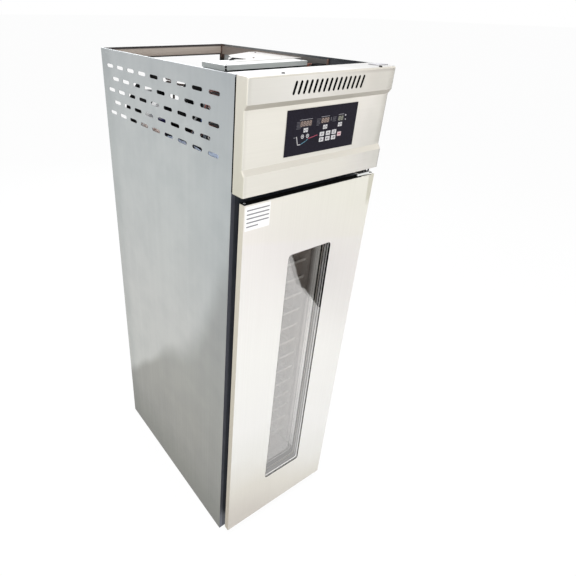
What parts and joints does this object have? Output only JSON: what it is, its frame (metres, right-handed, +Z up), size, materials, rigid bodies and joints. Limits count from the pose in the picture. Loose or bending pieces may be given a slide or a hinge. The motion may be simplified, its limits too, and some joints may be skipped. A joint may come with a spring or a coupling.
{
  "type": "proofing cabinet",
  "caption": "Tall insulated dough proofing cabinet with a glazed hinged door, tray ledges inside, and a vented machine compartment on top behind a control fascia.",
  "frame": {"origin": "centre of the footprint, door and fascia included, at floor level", "axes": "+Z up, +X to the right as seen from the door, +Y from the door to the back"},
  "size_m": [0.6, 0.966, 2.018],
  "materials": {
    "side_steel": "brushed stainless steel, cool grey",
    "front_steel": "ground stainless steel, warm white",
    "dark_steel": "dark zinc-coated sheet",
    "galvanised": "galvanised sheet",
    "bright_zinc": "bright zinc-plated sheet",
    "aluminium": "plain",
    "polished": "polished stainless steel",
    "copper": null,
    "brass": "bare brass",
    "foam": "polyurethane foam",
    "rubber": "black soft seal",
    "black_enamel": "black enamel",
    "keypad_film": "dark printed film",
    "nylon": "dark nylon",
    "white_plastic": "white moulded plastic",
    "grey_plastic": "grey moulded plastic",
    "blue_plastic": "blue potted coil",
    "circuit_board": "green board",
    "black_spacer": "black spacer profile",
    "clear_glass": "clear toughened glass"
  },
  "bodies": {
    "cabinet": {"side_panel_left": "side_steel", "side_panel_right": "side_steel", "back_panel": "galvanised", "base_pan": "galvanised", "rear_rail": "dark_steel", "rear_post_left": "dark_steel", "rear_post_right": "dark_steel", "machine_deck": "bright_zinc", "front_frame": "dark_steel", "insulation": "foam", "liner_floor": "side_steel", "liner_ceiling": "side_steel", "liner_left": "side_steel", "liner_right": "side_steel", "liner_back": "side_steel", "drain_outlet": "white_plastic", "tray_rack_left": "side_steel", "tray_rack_right": "side_steel", "air_duct_panel": "side_steel", "circulation_fan_motor": "black_enamel", "circulation_fan_guard": "polished", "evaporator_coil": "aluminium", "air_heater": "polished", "mist_nozzle": "white_plastic", "temperature_probe": "polished", "hinge_bracket_top": "front_steel", "hinge_bracket_bottom": "front_steel", "hinge_pin_top": "polished", "hinge_pin_bottom": "polished", "fascia": "front_steel", "front_rail": "dark_steel", "control_panel": "keypad_film", "control_board": "circuit_board", "condenser_coil": "aluminium", "condenser_fan_shroud": "black_enamel", "condenser_fan_motor": "black_enamel", "compressor": "black_enamel", "compressor_terminal_cover": "grey_plastic", "electrical_box": "galvanised", "electrical_box_lid": "bright_zinc", "cable_gland": "nylon", "pipe_cover": "bright_zinc", "humidity_relay": "black_enamel", "water_valve": "brass", "water_valve_coil": "blue_plastic", "hot_gas_pipe": "copper", "liquid_line": "copper", "suction_pipe": "copper"},
    "door": {"door_outer_pan": "front_steel", "door_inner_liner": "front_steel", "door_insulation": "foam", "window_outer_glass": "clear_glass", "window_inner_glass": "clear_glass", "window_spacer": "black_spacer", "door_gasket": "rubber", "hinge_bush_top": "nylon", "hinge_bush_bottom": "nylon"},
    "condenser_fan": {"condenser_fan_blade": "aluminium"},
    "circulation_fan": {"circulation_fan_blade": "aluminium"}
  },
  "joints": [
    {"name": "door_hinge", "type": "hinge", "parent": "cabinet", "child": "door", "pos_m": [0.274, -0.472, 0.85625], "axis": [0, 0, 1], "range_deg": [0, 110]},
    {"name": "condenser_fan_spin", "type": "hinge", "parent": "cabinet", "child": "condenser_fan", "pos_m": [0.05, 0.1023, 1.82765], "axis": [0, 1, 0], "continuous": true},
    {"name": "circulation_fan_spin", "type": "hinge", "parent": "cabinet", "child": "circulation_fan", "pos_m": [0, 0.369, 1.18], "axis": [0, 1, 0], "continuous": true}
  ]
}
